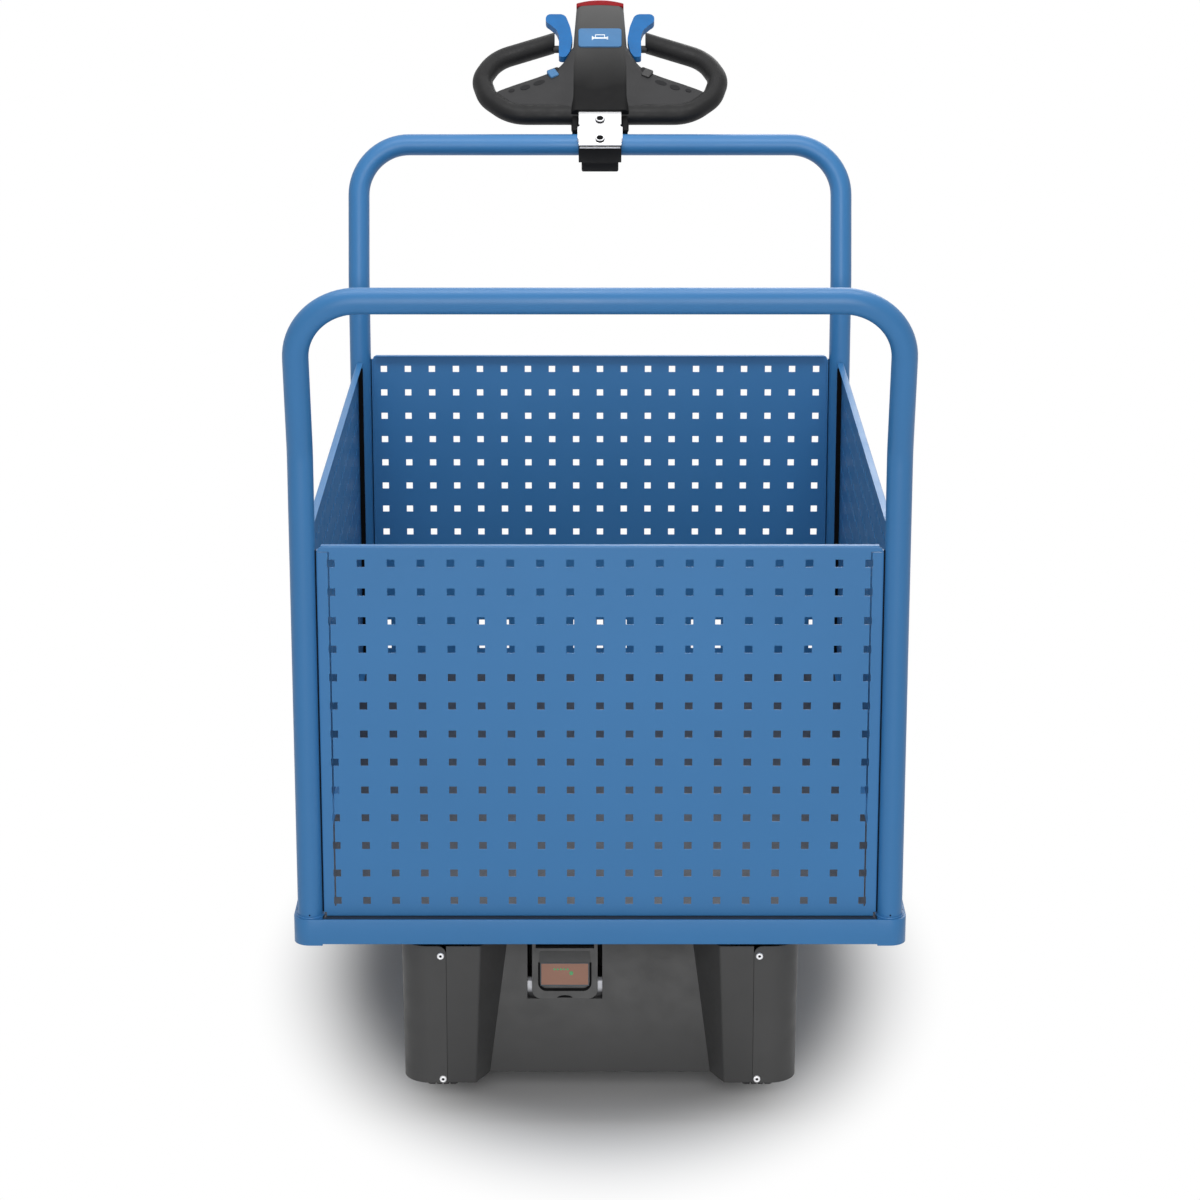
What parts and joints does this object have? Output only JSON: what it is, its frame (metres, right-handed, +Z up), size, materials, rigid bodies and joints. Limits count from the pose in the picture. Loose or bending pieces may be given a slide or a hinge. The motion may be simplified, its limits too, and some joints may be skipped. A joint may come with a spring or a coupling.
{
  "type": "electric platform truck",
  "caption": "Walk-behind electric platform truck: perforated sheet walls between tube hoops on a deck, drive unit under the front, swivel castors and a steering head at the rear.",
  "frame": {"origin": "centre of the bounding box, on the floor under the wheels", "axes": "+Z up, -Y towards the drive unit's end, +Y towards the steering head, +X right seen from the drive unit's end"},
  "size_m": [0.8, 1.5394, 1.3086],
  "materials": {
    "blue_paint": "satin powder coat",
    "board": "film-faced plywood with a fine mesh print",
    "housing": "fine grain moulded",
    "display": "smooth",
    "zinc": "bright zinc plated",
    "tyre": "smooth solid rubber",
    "hub": "cast",
    "castor_rim": "moulded",
    "black_plastic": "satin moulded",
    "blue_plastic": "satin moulded",
    "dark_button": "moulded",
    "red_plastic": "smooth"
  },
  "bodies": {
    "chassis": {"rim_rail_right": "blue_paint", "rim_rail_left": "blue_paint", "rim_rail_front": "blue_paint", "rim_rail_rear": "blue_paint", "rim_corners": "blue_paint", "cross_members": "blue_paint", "hoop_front": "blue_paint", "hoop_rear": "blue_paint", "wall_front": "blue_paint", "wall_rear": "blue_paint", "wall_left": "blue_paint", "wall_right": "blue_paint", "deck_board": "board", "drive_housing": "housing", "pod_cover_right": "housing", "pod_cover_left": "housing", "battery_pack": "housing", "battery_display": "display", "clamp_plate": "zinc", "battery_latches": "zinc", "castor_plate_right": "zinc", "castor_plate_left": "zinc", "castor_beam": "zinc", "drive_plate": "zinc", "drive_axle_right": "zinc", "drive_axle_left": "zinc", "tiller_head": "black_plastic", "grip_right": "black_plastic", "grip_left": "black_plastic", "clamp_block": "black_plastic", "thumb_lever_right": "blue_plastic", "thumb_lever_left": "blue_plastic", "horn_button": "blue_plastic", "side_button_left": "blue_plastic", "side_button_right": "dark_button", "belly_switch": "red_plastic"},
    "castor_right": {"castor_fork_right": "zinc"},
    "castor_left": {"castor_fork_left": "zinc"},
    "drive_wheel_right": {"drive_tyre_right": "tyre", "drive_hub_right": "hub"},
    "drive_wheel_left": {"drive_tyre_left": "tyre", "drive_hub_left": "hub"},
    "castor_wheel_right": {"castor_tyre_right": "tyre", "castor_rim_right": "castor_rim"},
    "castor_wheel_left": {"castor_tyre_left": "tyre", "castor_rim_left": "castor_rim"}
  },
  "joints": [
    {"name": "drive_wheel_left_spin", "type": "hinge", "parent": "chassis", "child": "drive_wheel_left", "pos_m": [-0.212, -0.57727, 0.1], "axis": [1, 0, 0], "continuous": true},
    {"name": "drive_wheel_right_spin", "type": "hinge", "parent": "chassis", "child": "drive_wheel_right", "pos_m": [0.212, -0.57727, 0.1], "axis": [1, 0, 0], "continuous": true},
    {"name": "castor_left_swivel", "type": "hinge", "parent": "chassis", "child": "castor_left", "pos_m": [-0.3, 0.31973, 0.22], "axis": [0, 0, 1], "continuous": true},
    {"name": "castor_wheel_left_spin", "type": "hinge", "parent": "castor_left", "child": "castor_wheel_left", "pos_m": [-0.3, 0.36973, 0.1], "axis": [1, 0, 0], "continuous": true},
    {"name": "castor_right_swivel", "type": "hinge", "parent": "chassis", "child": "castor_right", "pos_m": [0.3, 0.31973, 0.22], "axis": [0, 0, 1], "continuous": true},
    {"name": "castor_wheel_right_spin", "type": "hinge", "parent": "castor_right", "child": "castor_wheel_right", "pos_m": [0.3, 0.36973, 0.1], "axis": [1, 0, 0], "continuous": true}
  ]
}
